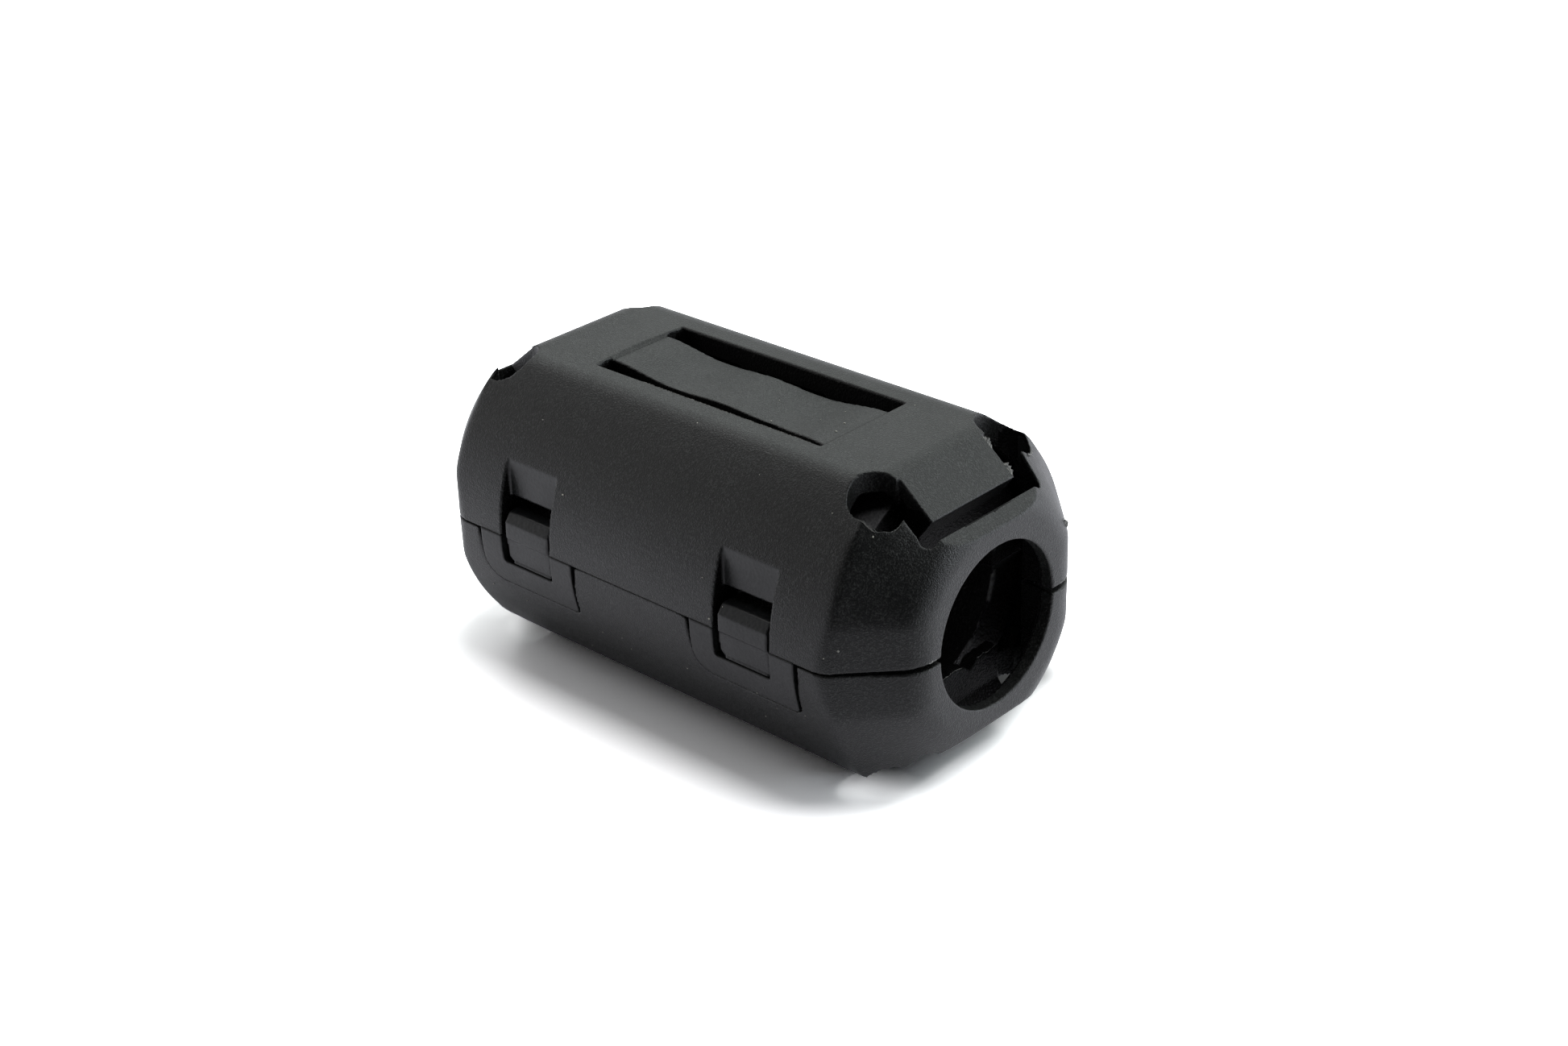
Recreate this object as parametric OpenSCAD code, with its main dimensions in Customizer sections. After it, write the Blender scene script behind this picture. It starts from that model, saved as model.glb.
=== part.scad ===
// Clip-on ferrite bead: two hinged half-shells, each holding half of a split ferrite sleeve.
// Origin: middle of the underside. +X along the cable, -Y the latch side, +Y the hinge side, +Z up.
// Each half is modelled with the parting plane at z = 0 and its shell below, then put in place.

/* [Case] */
// Length along the cable
body_l = 35; // [33:0.5:40]
// How far past the middle plane the centre of each barrel-shaped side lies
arc_y = 0.75; // [0.3:0.05:2]
// Radius that blends the flat top and bottom into the sides and the end slopes
edge_r = 2; // [1:0.1:3]
// Wall thickness
wall = 1.2; // [1:0.05:1.25]
// Gap between the two half-shells
parting_gap = 0.1; // [0.04:0.02:0.2]
// Gap between the two half-shells at the end faces
end_gap = 0.3; // [0.2:0.02:0.5]

/* [Ends] */
// Length along X of the slope at the top and bottom of each end
slope_x = 4.25; // [3:0.25:5]
// Height of that slope
slope_z = 3.15; // [2.5:0.1:4]
// Side chamfer of each end, seen from above
side_cut = 3.65; // [3.2:0.1:4.2]
// Radius of the end face at its diagonals, where the end cone starts
cone_r = 6.7; // [6.4:0.05:7.4]
// Growth of that cone's radius per unit of length
cone_growth = 0.96; // [0.8:0.02:1.1]
// Rounding between the end face and the side chamfer
face_blend_r = 2.3; // [1:0.1:2.6]
// Rounding between the side chamfer and the barrel
side_blend_r = 1.5; // [0.5:0.1:2.2]
// Diameter of the cable hole in each end wall
hole_d = 9.4; // [8:0.1:10]
// Thickness of the end wall around the hole
end_wall = 0.85; // [0.6:0.05:1.2]
// Thickness of the end wall at its corners
corner_wall = 2.15; // [1.5:0.05:2.4]
// Half-width of the thin middle of the end wall
thin_half_w = 4.75; // [4.75:0.05:5]
// Rounding at the corners of that thin middle
thin_corner_r = 0.5; // [0.2:0.05:0.6]

/* [Cable grips] */
// Width of a grip flap
flap_w = 6.8; // [5:0.1:8]
// Thickness of a grip flap
flap_t = 1; // [0.8:0.05:1.1]
// Thickness of a grip flap at its free edge
flap_end_t = 1.5; // [1.2:0.1:1.8]
// How far a flap's free edge droops below the slope around it
flap_droop = 0.2; // [0:0.05:0.3]
// Gap between a flap's free edge and the end wall
flap_slot = 0.85; // [0.5:0.05:1.2]
// Thickness of the gripping lip
lip_t = 0.9; // [0.6:0.1:1.2]
// Height of the lip's tip from the cable axis
lip_tip = 3.65; // [3.4:0.05:4.5]
// Radius of the corner openings
corner_r = 1.5; // [1.2:0.05:1.7]
// Distance of a corner opening's centre from the end face
corner_x = 3.9; // [3.5:0.1:4.2]
// Distance of a corner opening's centre from the middle plane
corner_y = 5.1; // [4.9:0.05:5.3]

/* [Leaf springs] */
// Length of the window in the top and bottom
window_l = 16.7; // [14:0.1:18]
// Width of that window
window_w = 6.9; // [6:0.1:7.6]
// How far the window's -X edge bows outwards
window_bow = 0.28; // [0:0.02:0.3]
// Width of the leaf spring in the window
leaf_w = 4.4; // [3:0.1:5]
// Thickness of the leaf spring
leaf_t = 0.65; // [0.5:0.05:0.68]
// Depth of the leaf at its ends, below the face around the window
leaf_end = 0.13; // [0:0.01:0.2]
// Depth of the leaf at its middle
leaf_mid = 0.43; // [0.2:0.01:0.5]
// Depth of the leaf at the two lobes that press on the core
leaf_lobe = 0.56; // [0.4:0.01:0.56]
// Length of the gusset that widens the leaf's root at one corner
gusset_l = 4.2; // [3:0.1:5]
// How far that gusset widens it
gusset_w = 0.9; // [0.5:0.05:1]

/* [Latches] */
// Distance of each latch from the middle
latch_x = 8.25; // [7.5:0.05:8.6]
// Width of a latch loop
loop_w = 7.4; // [6.5:0.1:8]
// Width of the opening in a latch loop
loop_open_w = 4; // [3.8:0.1:4.4]
// Thickness of a latch loop
loop_t = 1.1; // [0.9:0.05:1.1]
// How far a latch loop hangs below the parting plane
loop_drop = 3.1; // [2.8:0.1:3.5]
// Height of the loop's lower bar
loop_bar = 1.5; // [1.2:0.05:1.7]
// Rounding of the loop's lower corner towards -X
loop_corner_r = 1.3; // [0.5:0.1:1.5]
// How far a loop stands proud of the case
loop_proud = 0.05; // [0:0.01:0.1]
// Gap between a loop and its pocket at the parting plane
pocket_gap = 0.28; // [0.15:0.01:0.4]
// Gap between a loop and its pocket at the lower end
pocket_end_gap = 0.06; // [0.04:0.01:0.12]
// Width of a catch
catch_w = 3.5; // [3:0.05:3.6]
// Shift of the catches along X inside their loops
catch_shift = 0.1; // [-0.15:0.05:0.15]
// Height of a catch's face above the parting plane
catch_rise = 0.9; // [0.5:0.05:1.2]
// Height of a catch's sloping nose
nose_h = 0.65; // [0.4:0.05:0.8]
// Depth of that nose
nose_d = 0.45; // [0.3:0.05:0.6]
// Gap between a catch and the bar that hooks under it
catch_gap = 0.05; // [0.03:0.01:0.1]
// Height of a latch recess above the parting plane
recess_top = 4.5; // [4:0.1:5]
// Height of the through opening under that recess
recess_open = 2.25; // [2:0.05:2.6]

/* [Hinge] */
// Distance of each hinge strap from the middle
strap_x = 8; // [6:0.25:9]
// Width of a hinge strap
strap_w = 5; // [3:0.25:6]
// Thickness of a hinge strap
strap_t = 0.35; // [0.3:0.01:0.5]
// Bend radius of a closed hinge strap, at the middle of its thickness
strap_r = 0.75; // [0.6:0.05:0.9]
// How far the strap's root pads stand out from the case
pad_proud = 0.05; // [0:0.05:0.1]
// How far a root pad reaches past its strap's edges
pad_margin = 0.25; // [0.1:0.05:0.4]

/* [Ferrite] */
// Distance of the ferrite sleeve's ends from the end faces
core_end = 4.35; // [4.35:0.05:5.5]
// Outside diameter of the ferrite sleeve
core_d = 15.3; // [14.8:0.1:16]
// Space between the ferrite and the case's side walls
side_room = 1; // [0.9:0.05:1.5]
// Gap between the ferrite and the lobes of the leaf springs
leaf_gap = 0.04; // [0.02:0.01:0.1]
// Bore of the ferrite sleeve
core_bore = 10; // [9.6:0.1:10.4]
// Gap between the ground faces of the two ferrite halves
core_gap = 0.04; // [0.02:0.01:0.1]
// Clearance between the ferrite and the ribs that cradle it
core_clear = 0.1; // [0.05:0.01:0.15]
// Distance of the outer cradle ribs from the middle
outer_rib_x = 10.4; // [9.8:0.1:10.8]
// Distance of the inner cradle ribs from the middle
inner_rib_x = 3.2; // [2:0.1:4]
// Thickness of a cradle rib
rib_t = 1.2; // [0.8:0.1:1.5]

/* [Hidden] */
$fn = 96;

half_l = body_l / 2;
half_w = core_d / 2 + side_room + wall;
half_h = core_d / 2 + leaf_gap + leaf_t + leaf_lobe;
body_w = 2 * half_w;
body_h = 2 * half_h;
side_r = half_w + arc_y;
core_l = body_l - 2 * core_end;
// a length that runs past every part of the case
over = 60;
// overlap that joins pieces of one moulding
merge = 0.3;
half_gap = parting_gap / 2;
leaf_steps = 32;
slope_len = norm([slope_x, slope_z]);
slope_normal = [slope_z, slope_x] / slope_len;
// the flap's free edge on the slope, its inner corner, and the lip's back
flap_x = half_l - end_wall - flap_slot;
flap_z = half_h - slope_z + (half_l - flap_x) * slope_z / slope_x - flap_droop;
flap_in = [flap_x, flap_z] - flap_end_t * slope_normal;
lip_back_x = flap_in[0] - lip_t;
flap_root_x = half_l - slope_x;
bar_top = -(loop_drop - loop_bar);
strap_face_y = half_w + pad_proud;
catch_back = core_d / 2 + 1.5 * core_clear;

CASE = "#202426";
LATCH = "#23272a";
STRAP = "#1b1e20";
FERRITE = "#3a3b3d";

// Where a line parallel to the end slope, t inside it, stands at height z
function slope_at(t, z) =
    half_l - slope_x + (slope_normal[1] * (half_h - z) - t) / slope_normal[0];

// Depth of the leaf spring's outer face at x
function leaf_depth(x) =
    let (a = 180 * x / window_l)
    leaf_mid * pow(cos(a), 2) + leaf_end * pow(sin(a), 2)
        + (leaf_lobe - (leaf_mid + leaf_end) / 2) * pow(sin(2 * a), 2);

// What rounds the corner b of an outline a-b-c is taken off by this sliver
module corner_sliver(a, b, c, r) {
    u = (a - b) / norm(a - b);
    v = (c - b) / norm(c - b);
    half_angle = acos(u * v) / 2;
    reach = r / tan(half_angle);
    middle = b + (u + v) / norm(u + v) * r / sin(half_angle);
    difference() {
        polygon([middle, b + reach * u, b - 0.2 * (u + v), b + reach * v]);
        translate(middle) circle(r);
    }
}

// A plate outline from x0 to x1 and z0 to z1, with its two lower corners rounded
module plate(x0, x1, z0, z1, r0, r1) {
    difference() {
        translate([x0, z0]) square([x1 - x0, z1 - z0]);
        corner_sliver([x0, z1], [x0, z0], [x1, z0], r0);
        corner_sliver([x1, z1], [x1, z0], [x0, z0], r1);
    }
}

// Extrusions along X of a Y-Z outline, and along Y of an X-Z outline
module along_x(length) {
    rotate([90, 0, 90]) linear_extrude(length, center = true) children();
}

module along_y(length) {
    rotate([90, 0, 0]) linear_extrude(length, center = true) children();
}

// Cross-section of the case, t inside its outer face
module section(t) {
    difference() {
        intersection() {
            square([over, body_h - 2 * t], center = true);
            translate([-arc_y, 0]) circle(side_r - t);
            translate([arc_y, 0]) circle(side_r - t);
        }
        if (t <= 0) for (y = [0, 1], z = [0, 1]) mirror([y, 0]) mirror([0, z]) edge_sliver(t);
    }
}

// The sharp edge between the flat top and the side arc
module edge_sliver(t) {
    z = half_h - edge_r;
    reach = side_r - edge_r;
    y = sqrt(reach * reach - z * z) - arc_y;
    out = [y + arc_y, z] / reach;
    difference() {
        polygon([[y, z], [y, half_h + 1], [y, z] + (edge_r + 1) * out, [y, z] + 0.1 * out]);
        translate([y, z]) circle(edge_r - t);
    }
}

// Outline seen from above, t inside the outer face
module plan(t) {
    far_x = half_l - t;
    far_y = half_w - t;
    cut = side_cut - (2 - sqrt(2)) * t;
    near_end = [far_x, far_y - cut];
    near_side = [far_x - cut, far_y];
    difference() {
        square([2 * far_x, 2 * far_y], center = true);
        for (x = [0, 1], y = [0, 1]) mirror([x, 0]) mirror([0, y]) {
            polygon([near_end, near_side, [far_x + 1, far_y + 1]]);
            if (t <= 0) {
                corner_sliver([far_x, 0], near_end, near_side, face_blend_r);
                corner_sliver([0, far_y], near_side, near_end, side_blend_r);
            }
        }
    }
}

// Outline seen from the side, t inside the outer face
module side_view(t) {
    top = half_h - t;
    end = half_l - t;
    end_z = half_h - slope_z - (t - slope_normal[0] * t) / slope_normal[1];
    for (x = [0, 1]) mirror([x, 0]) difference() {
        polygon([[0, top], [slope_at(t, top), top], [end, end_z], [end, -end_z],
            [slope_at(t, top), -top], [0, -top]]);
        if (t <= 0) for (z = [0, 1]) mirror([0, z])
            corner_sliver([0, top], [slope_at(t, top), top], [end, end_z], edge_r);
    }
}

// The turned ends that take off the case's diagonal corners
module turned_ends(t) {
    r = cone_r - (norm([1, cone_growth]) - cone_growth) * t;
    end = half_l - t;
    run = side_r;
    wide = r + cone_growth * run;
    rotate([0, 90, 0]) rotate_extrude() difference() {
        polygon([[0, -end], [r, -end], [wide, run - end], [wide, end - run], [r, end], [0, end]]);
        if (t <= 0) for (z = [0, 1]) mirror([0, z])
            corner_sliver([0, end], [r, end], [wide, end - run], face_blend_r);
    }
}

// The whole closed case, t inside its outer face
module case_form(t) {
    intersection() {
        along_x(body_l - 2 * t) section(t);
        linear_extrude(over, center = true) plan(t);
        along_y(over) side_view(t);
        turned_ends(t);
    }
}

// Everything below the parting plane, with the gap that widens at the ends
module lower_side() {
    flare_x = half_l - side_cut;
    top = -parting_gap / 2;
    end_top = -end_gap / 2;
    along_y(over) polygon([[-over, end_top], [-half_l, end_top], [-flare_x, top],
        [flare_x, top], [half_l, end_top], [over, end_top], [over, -over], [-over, -over]]);
}

// Hollow inside one half, with ribs that cradle the ferrite
module hollow() {
    inner_l = body_l - 2 * corner_wall;
    difference() {
        intersection() {
            case_form(wall);
            cube([inner_l, over, over], center = true);
        }
        for (x = [-outer_rib_x, -inner_rib_x, inner_rib_x, outer_rib_x]) translate([x, 0, 0])
            difference() {
                cube([rib_t, over, over], center = true);
                along_x(over) circle(core_d / 2 + core_clear);
            }
    }
}

// Corner openings, grip slot and the thin middle of one end, cut straight down.
// The thin middle's corners are square behind the cable hole.
module end_openings() {
    slot_x = flap_root_x + 0.35;
    thin_x = half_l - end_wall;
    square_h = hole_d + 2 * thin_corner_r;
    translate([slot_x, -thin_half_w, -square_h / 2]) cube([thin_x - slot_x, 2 * thin_half_w, square_h]);
    linear_extrude(over, center = true) {
        difference() {
            translate([slot_x, -thin_half_w]) square([thin_x - slot_x, 2 * thin_half_w]);
            for (y = [0, 1]) mirror([0, y])
                corner_sliver([slot_x, thin_half_w], [thin_x, thin_half_w], [thin_x, 0], thin_corner_r);
        }
        for (y = [-corner_y, corner_y]) translate([half_l - corner_x, y]) circle(corner_r);
    }
}

// One grip flap with its lip, on the lower side of the +X end
module grip_flap() {
    crease = [slope_at(0, half_h), half_h];
    along_y(flap_w) mirror([0, 1]) difference() {
        polygon([
            crease - [1, 0],
            crease,
            [flap_x, flap_z],
            flap_in,
            [flap_in[0], lip_tip],
            [lip_back_x, lip_tip],
            [lip_back_x, half_h + (slope_normal[0] * (flap_root_x - lip_back_x) - flap_t) / slope_normal[1]],
            [slope_at(flap_t, half_h - flap_t), half_h - flap_t],
            crease - [1, flap_t]]);
        corner_sliver(crease - [1, 0], crease, [flap_x, flap_z], edge_r);
    }
}

// Window in the bottom, with one bowed end
module window() {
    bow_r = (window_w * window_w / 4 + window_bow * window_bow) / (2 * window_bow);
    translate([0, 0, -half_h]) linear_extrude(4 * wall, center = true) {
        square([window_l, window_w], center = true);
        intersection() {
            translate([bow_r - window_l / 2 - window_bow, 0]) circle(bow_r, $fn = 360);
            translate([-window_l / 2 - window_bow, -window_w / 2]) square([window_l / 2, window_w]);
        }
    }
}

// Leaf spring in the lower window, wider at one corner of its +X root
module leaf() {
    end = window_l / 2;
    root = end + window_bow + merge;
    bottom = half_h - leaf_end - leaf_t;
    xs = [for (i = [0 : leaf_steps]) -end + i * window_l / leaf_steps];
    intersection() {
        along_y(window_w) mirror([0, 1]) polygon(concat(
            [[-root, half_h - leaf_end]],
            [for (x = xs) [x, half_h - leaf_depth(x)]],
            [[root, half_h - leaf_end], [root, bottom]],
            [for (i = [leaf_steps : -1 : 0]) [xs[i], half_h - leaf_depth(xs[i]) - leaf_t]],
            [[-root, bottom]]));
        linear_extrude(over, center = true) polygon([[-root, -leaf_w / 2], [end - gusset_l, -leaf_w / 2],
            [end, -leaf_w / 2 - gusset_w], [root, -leaf_w / 2 - gusset_w], [root, leaf_w / 2],
            [-root, leaf_w / 2]]);
    }
}

// Pads on the hinge side that the straps grow from
module strap_pads() {
    pad_h = strap_t + 2 * pad_margin;
    for (x = [-strap_x, strap_x])
        translate([x - strap_w / 2 - pad_margin, half_w - wall / 2, -strap_r - pad_h / 2])
            cube([strap_w + 2 * pad_margin, wall / 2 + pad_proud, pad_h]);
}

// What both halves share, as the lower one
module half_shell() {
    difference() {
        intersection() {
            case_form(0);
            lower_side();
        }
        hollow();
        for (x = [0, 1]) mirror([x, 0, 0]) end_openings();
        along_x(over) circle(hole_d / 2);
        window();
    }
    for (x = [0, 1]) mirror([x, 0, 0]) grip_flap();
    leaf();
    strap_pads();
}

// Outline of a latch loop, seen from the front, with its middle at x = 0
module loop_outline(gap, top) {
    side = loop_w / 2 + gap;
    plate(-side, side, -loop_drop - gap, top, loop_corner_r + gap, 0.25 + gap);
}

// A layer of the latch side between two depths, cut out by the outline of one latch
module latch_layer(x, t_out, t_in) {
    intersection() {
        difference() {
            case_form(t_out);
            case_form(t_in);
        }
        translate([x, -half_w, 0]) along_y(body_w / 2) children();
    }
}

// Pocket that one loop lies in, wider at the parting plane than at its end
module pocket(x) {
    side = loop_w / 2 + pocket_end_gap;
    widen = pocket_gap - pocket_end_gap;
    latch_layer(x, -1, loop_t + core_clear) {
        loop_outline(pocket_end_gap, 1);
        for (m = [0, 1]) mirror([m, 0])
            polygon([[side - 1, 1], [side + widen, 1], [side + widen, 0], [side, -loop_drop + loop_corner_r],
                [side - 1, -loop_drop + loop_corner_r]]);
    }
}

// Wall behind one pocket, up to the ferrite
module pocket_back(x) {
    back_w = loop_w + 2 * wall;
    back_h = loop_drop + wall;
    difference() {
        intersection() {
            case_form(wall / 2);
            translate([x - back_w / 2, -half_w, -back_h]) cube([back_w, half_w, back_h - half_gap]);
        }
        along_x(over) circle(core_d / 2 + core_clear);
    }
}

// One catch with the tongue behind it that rises into the upper shell
module catch_block(x) {
    top = catch_rise + nose_h;
    intersection() {
        case_form(0.02);
        translate([x, -half_w, 0]) along_y(body_w / 2)
            plate(-catch_w / 2, catch_w / 2, bar_top + catch_gap, top, 0.5, 0.12);
        along_x(over) polygon([
            [-catch_back, bar_top], [-half_w, bar_top], [-half_w, catch_rise],
            [-half_w + nose_d, top], [-catch_back, top]]);
    }
}

module lower_shell() {
    color(CASE) translate([0, 0, half_h]) {
        difference() {
            union() {
                half_shell();
                for (x = [-latch_x, latch_x]) pocket_back(x);
            }
            for (x = [-latch_x, latch_x]) pocket(x);
        }
        for (x = [-latch_x, latch_x]) catch_block(x + catch_shift);
    }
}

// Recess over one catch: flush with the case at its top, open into the case at its foot
module latch_recess(x) {
    recess_y = sqrt(side_r * side_r - recess_top * recess_top) - arc_y;
    translate([x - loop_open_w / 2, -over, -recess_top]) cube([loop_open_w, over - recess_y, over]);
    translate([x - loop_open_w / 2, -over, -recess_open])
        cube([loop_open_w, over - core_d / 2 + wall, over]);
}

module upper_shell() {
    color(CASE) translate([0, 0, half_h]) mirror([0, 0, 1]) difference() {
        half_shell();
        for (x = [-latch_x, latch_x]) latch_recess(x);
    }
}

// Latch loop: two legs and a bar, hanging from the upper shell over a catch
module latch_loop(x) {
    open_side = loop_open_w / 2;
    color(LATCH) translate([0, 0, half_h]) latch_layer(x, -loop_proud, loop_t) difference() {
        loop_outline(0, half_gap);
        plate(-open_side, open_side, bar_top, 1, 0.3, 0.1);
    }
}

// Film hinge strap, bent round from the lower shell to the upper one
module hinge_strap(x) {
    color(STRAP) translate([x, strap_face_y, half_h]) rotate([90, 0, 90])
        linear_extrude(strap_w, center = true) difference() {
            circle(strap_r + strap_t / 2);
            circle(strap_r - strap_t / 2);
            translate([-over, -over / 2]) square(over);
        }
}

// Half of the ferrite sleeve, below the parting plane
module half_core() {
    color(FERRITE) along_x(core_l) difference() {
        circle(core_d / 2);
        circle(core_bore / 2);
        translate([-over / 2, -core_gap / 2]) square(over);
    }
}

module lower_core() {
    translate([0, 0, half_h]) half_core();
}

module upper_core() {
    translate([0, 0, half_h]) mirror([0, 0, 1]) half_core();
}

lower_shell();
upper_shell();
latch_loop(-latch_x);  // latch_loop_left
latch_loop(latch_x);  // latch_loop_right
hinge_strap(-strap_x);  // hinge_strap_left
hinge_strap(strap_x);  // hinge_strap_right
lower_core();
upper_core();
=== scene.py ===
import math
import random

import bpy
from mathutils import Matrix, Vector, noise


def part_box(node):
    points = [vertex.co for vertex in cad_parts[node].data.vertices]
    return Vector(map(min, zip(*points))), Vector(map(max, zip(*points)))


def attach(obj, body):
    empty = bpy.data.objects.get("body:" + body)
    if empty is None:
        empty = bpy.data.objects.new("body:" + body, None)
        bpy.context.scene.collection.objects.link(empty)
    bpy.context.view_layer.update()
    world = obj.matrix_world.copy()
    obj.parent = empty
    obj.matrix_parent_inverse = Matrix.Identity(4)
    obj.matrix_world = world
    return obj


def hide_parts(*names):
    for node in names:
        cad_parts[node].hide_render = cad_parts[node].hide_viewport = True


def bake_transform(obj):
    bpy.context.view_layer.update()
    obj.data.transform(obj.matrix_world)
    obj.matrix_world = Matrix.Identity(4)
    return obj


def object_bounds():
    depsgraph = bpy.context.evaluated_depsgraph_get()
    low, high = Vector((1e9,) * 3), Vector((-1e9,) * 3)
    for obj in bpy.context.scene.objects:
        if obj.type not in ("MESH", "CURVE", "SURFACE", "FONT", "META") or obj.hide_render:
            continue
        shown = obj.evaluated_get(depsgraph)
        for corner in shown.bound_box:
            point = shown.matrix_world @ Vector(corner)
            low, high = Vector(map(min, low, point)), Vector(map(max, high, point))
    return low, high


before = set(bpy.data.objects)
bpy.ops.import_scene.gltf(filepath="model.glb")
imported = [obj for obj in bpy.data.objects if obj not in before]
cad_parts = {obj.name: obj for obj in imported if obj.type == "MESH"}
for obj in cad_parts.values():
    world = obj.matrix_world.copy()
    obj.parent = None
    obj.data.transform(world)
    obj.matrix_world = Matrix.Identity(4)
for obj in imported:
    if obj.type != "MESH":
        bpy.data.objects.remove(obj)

cad_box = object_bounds()
MM = 0.001

# --- sizes --------------------------------------------------------------------------------------
# Places are in millimetres in the row frame: X along the cable, -Y the latch side, Z up.
AXIS_Z = (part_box("lower_core")[1][2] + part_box("upper_core")[0][2]) / 2 / MM
HALF_LENGTH = cad_box[1][0] / MM
# The ferrite's bore radius and its +X end
BORE_R = 5
CORE_END_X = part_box("lower_core")[1][0] / MM
LATCH_XS = (-8.25, 8.25)
STRAP_XS = (-8, 8)
# Size of the cells that the edges are softened with, and the most triangles of each kind of piece
CASE_CELL = 0.08
LATCH_CELL = 0.06
STRAP_CELL = 0.07
CASE_FACES = 195000
LATCH_FACES = 90000
STRAP_FACES = 60000
# The openings, from the +X end, the middle plane and their centres
CORNER_IN = 3.9
CORNER_Y = 5.1
CORNER_R = 1.5
HOLE_R = 4.7
# The window in the top
WINDOW_HALF_X = 8.35
WINDOW_HALF_Y = 3.45
# The end slopes, the end wall, the grip flap, the slot in front of it and its end
SLOPE_X = 4.25
SLOPE_Z = 3.15
END_WALL = 0.85
FLAP_HALF = 3.4
FLAP_SLOT = 0.85
FLAP_END_T = 1.5
# The end face's radius at its diagonals, and its edge at each side
END_FACE_R = 6.7
END_EDGE_Y = 6.2

# --- camera -------------------------------------------------------------------------------------
# The frame is 1946 x 1298, with the object seen from the latch side and the +X end.
VIEW_AZIMUTH = 43.1
VIEW_ELEVATION = 27.2
VIEW_ROLL = -1.67
VIEW_DISTANCE = 139.9
LOOK_AT = (0, 2.57, 8.15)
LENS_MM = 56.07


def make_camera():
    turn = math.radians(VIEW_AZIMUTH)
    rise = math.radians(VIEW_ELEVATION)
    roll = math.radians(VIEW_ROLL)
    back = Vector((math.sin(turn) * math.cos(rise), -math.cos(turn) * math.cos(rise), math.sin(rise)))
    level = Vector((math.cos(turn), math.sin(turn), 0))
    right = level * math.cos(roll) + back.cross(level) * math.sin(roll)
    bpy.ops.object.camera_add()
    camera = bpy.context.object
    camera.name = "camera"
    camera.matrix_world = Matrix((right, back.cross(right), back)).transposed().to_4x4()
    camera.location = (Vector(LOOK_AT) + back * VIEW_DISTANCE) * MM
    camera.data.sensor_width = 36
    camera.data.lens = LENS_MM
    camera.data.clip_start = 0.002
    camera.data.clip_end = 20
    bpy.context.scene.camera = camera


make_camera()

# --- helpers ------------------------------------------------------------------------------------


def deselect():
    bpy.ops.object.select_all(action="DESELECT")


def choose(piece):
    """piece alone selected and active."""
    deselect()
    piece.select_set(True)
    bpy.context.view_layer.objects.active = piece


def apply_modifiers(piece):
    choose(piece)
    for modifier in list(piece.modifiers):
        bpy.ops.object.modifier_apply(modifier=modifier.name)


def smooth_step(low, high, value):
    t = min(1, max(0, (value - low) / (high - low)))
    return t * t * (3 - 2 * t)


def material_nodes(name):
    """A new material's node tree, its Principled shader and its Object coordinates."""
    material = bpy.data.materials.new(name)
    material.use_nodes = True
    tree = material.node_tree
    shader = tree.nodes["Principled BSDF"]
    place = tree.nodes.new("ShaderNodeTexCoord").outputs["Object"]
    return material, tree, shader, place


def maths(tree, operation, *values):
    """The output of a Math node whose inputs are links or numbers."""
    node = tree.nodes.new("ShaderNodeMath")
    node.operation = operation
    for socket, value in zip(node.inputs, values):
        if isinstance(value, (int, float)):
            socket.default_value = value
        else:
            tree.links.new(value, socket)
    return node.outputs[0]


def ramp(tree, value, low, high, to_low=0.0, to_high=1.0, kind="SMOOTHSTEP"):
    """value taken from low..high to to_low..to_high, and held outside."""
    node = tree.nodes.new("ShaderNodeMapRange")
    node.interpolation_type = kind
    node.inputs["From Min"].default_value = low
    node.inputs["From Max"].default_value = high
    node.inputs["To Min"].default_value = to_low
    node.inputs["To Max"].default_value = to_high
    tree.links.new(value, node.inputs["Value"])
    return node.outputs["Result"]


def mix_colour(tree, factor, first, second):
    """first and second, links or colours, mixed by factor."""
    node = tree.nodes.new("ShaderNodeMix")
    node.data_type = "RGBA"
    tree.links.new(factor, node.inputs[0])
    for socket, value in ((node.inputs[6], first), (node.inputs[7], second)):
        if isinstance(value, tuple):
            socket.default_value = value
        else:
            tree.links.new(value, socket)
    return node.outputs[2]


# --- studio -------------------------------------------------------------------------------------
AIR_LEVEL = 0.30
AIR_GLOSS = 0.38
FLOOR_TONE = (0.85, 0.85, 0.86, 1)
FLOOR_SEEN = (3.1, 3.1, 3.13, 1)
# Painted reflection: the floor's colour as the object's gloss sees it, brighter than its own tone, and
# painted darker far off
FLOOR_IN_GLOSS = (1.16, 1.15, 1.22, 1)
FLOOR_SHADE_IN_GLOSS = (0.08, 0.08, 0.09, 1)
# Painted shadow: the floor's colour seen directly right under the object
FLOOR_PAINTED_SHADOW = (0.08, 0.08, 0.08, 1)
FLOOR_SIZE = 12
# The floor under the object, where a shadow is painted, along each axis: its middle and half size, and its
# soft edge, in mm
PAINTED_SHADOW_AREA = (("X", 0.0, 12.5), ("Y", 3, 6))
PAINTED_SHADOW_EDGE = 4.5
# Painted shade in the floor's reflection: in the gloss the floor darkens this way, from one distance to the
# other, in mm
DARKENING_X = 0.68
DARKENING_Y = -0.73
DARKENING_START = 5
DARKENING_END = 55
# What the cards face, in metres
CARD_TARGET = (0, 0, 0.009)
COOL_WHITE = (0.94, 1, 0.98, 1)
COLD_WHITE = (0.92, 0.98, 1.04, 1)
WHITE = (1, 1, 1, 1)
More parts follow.
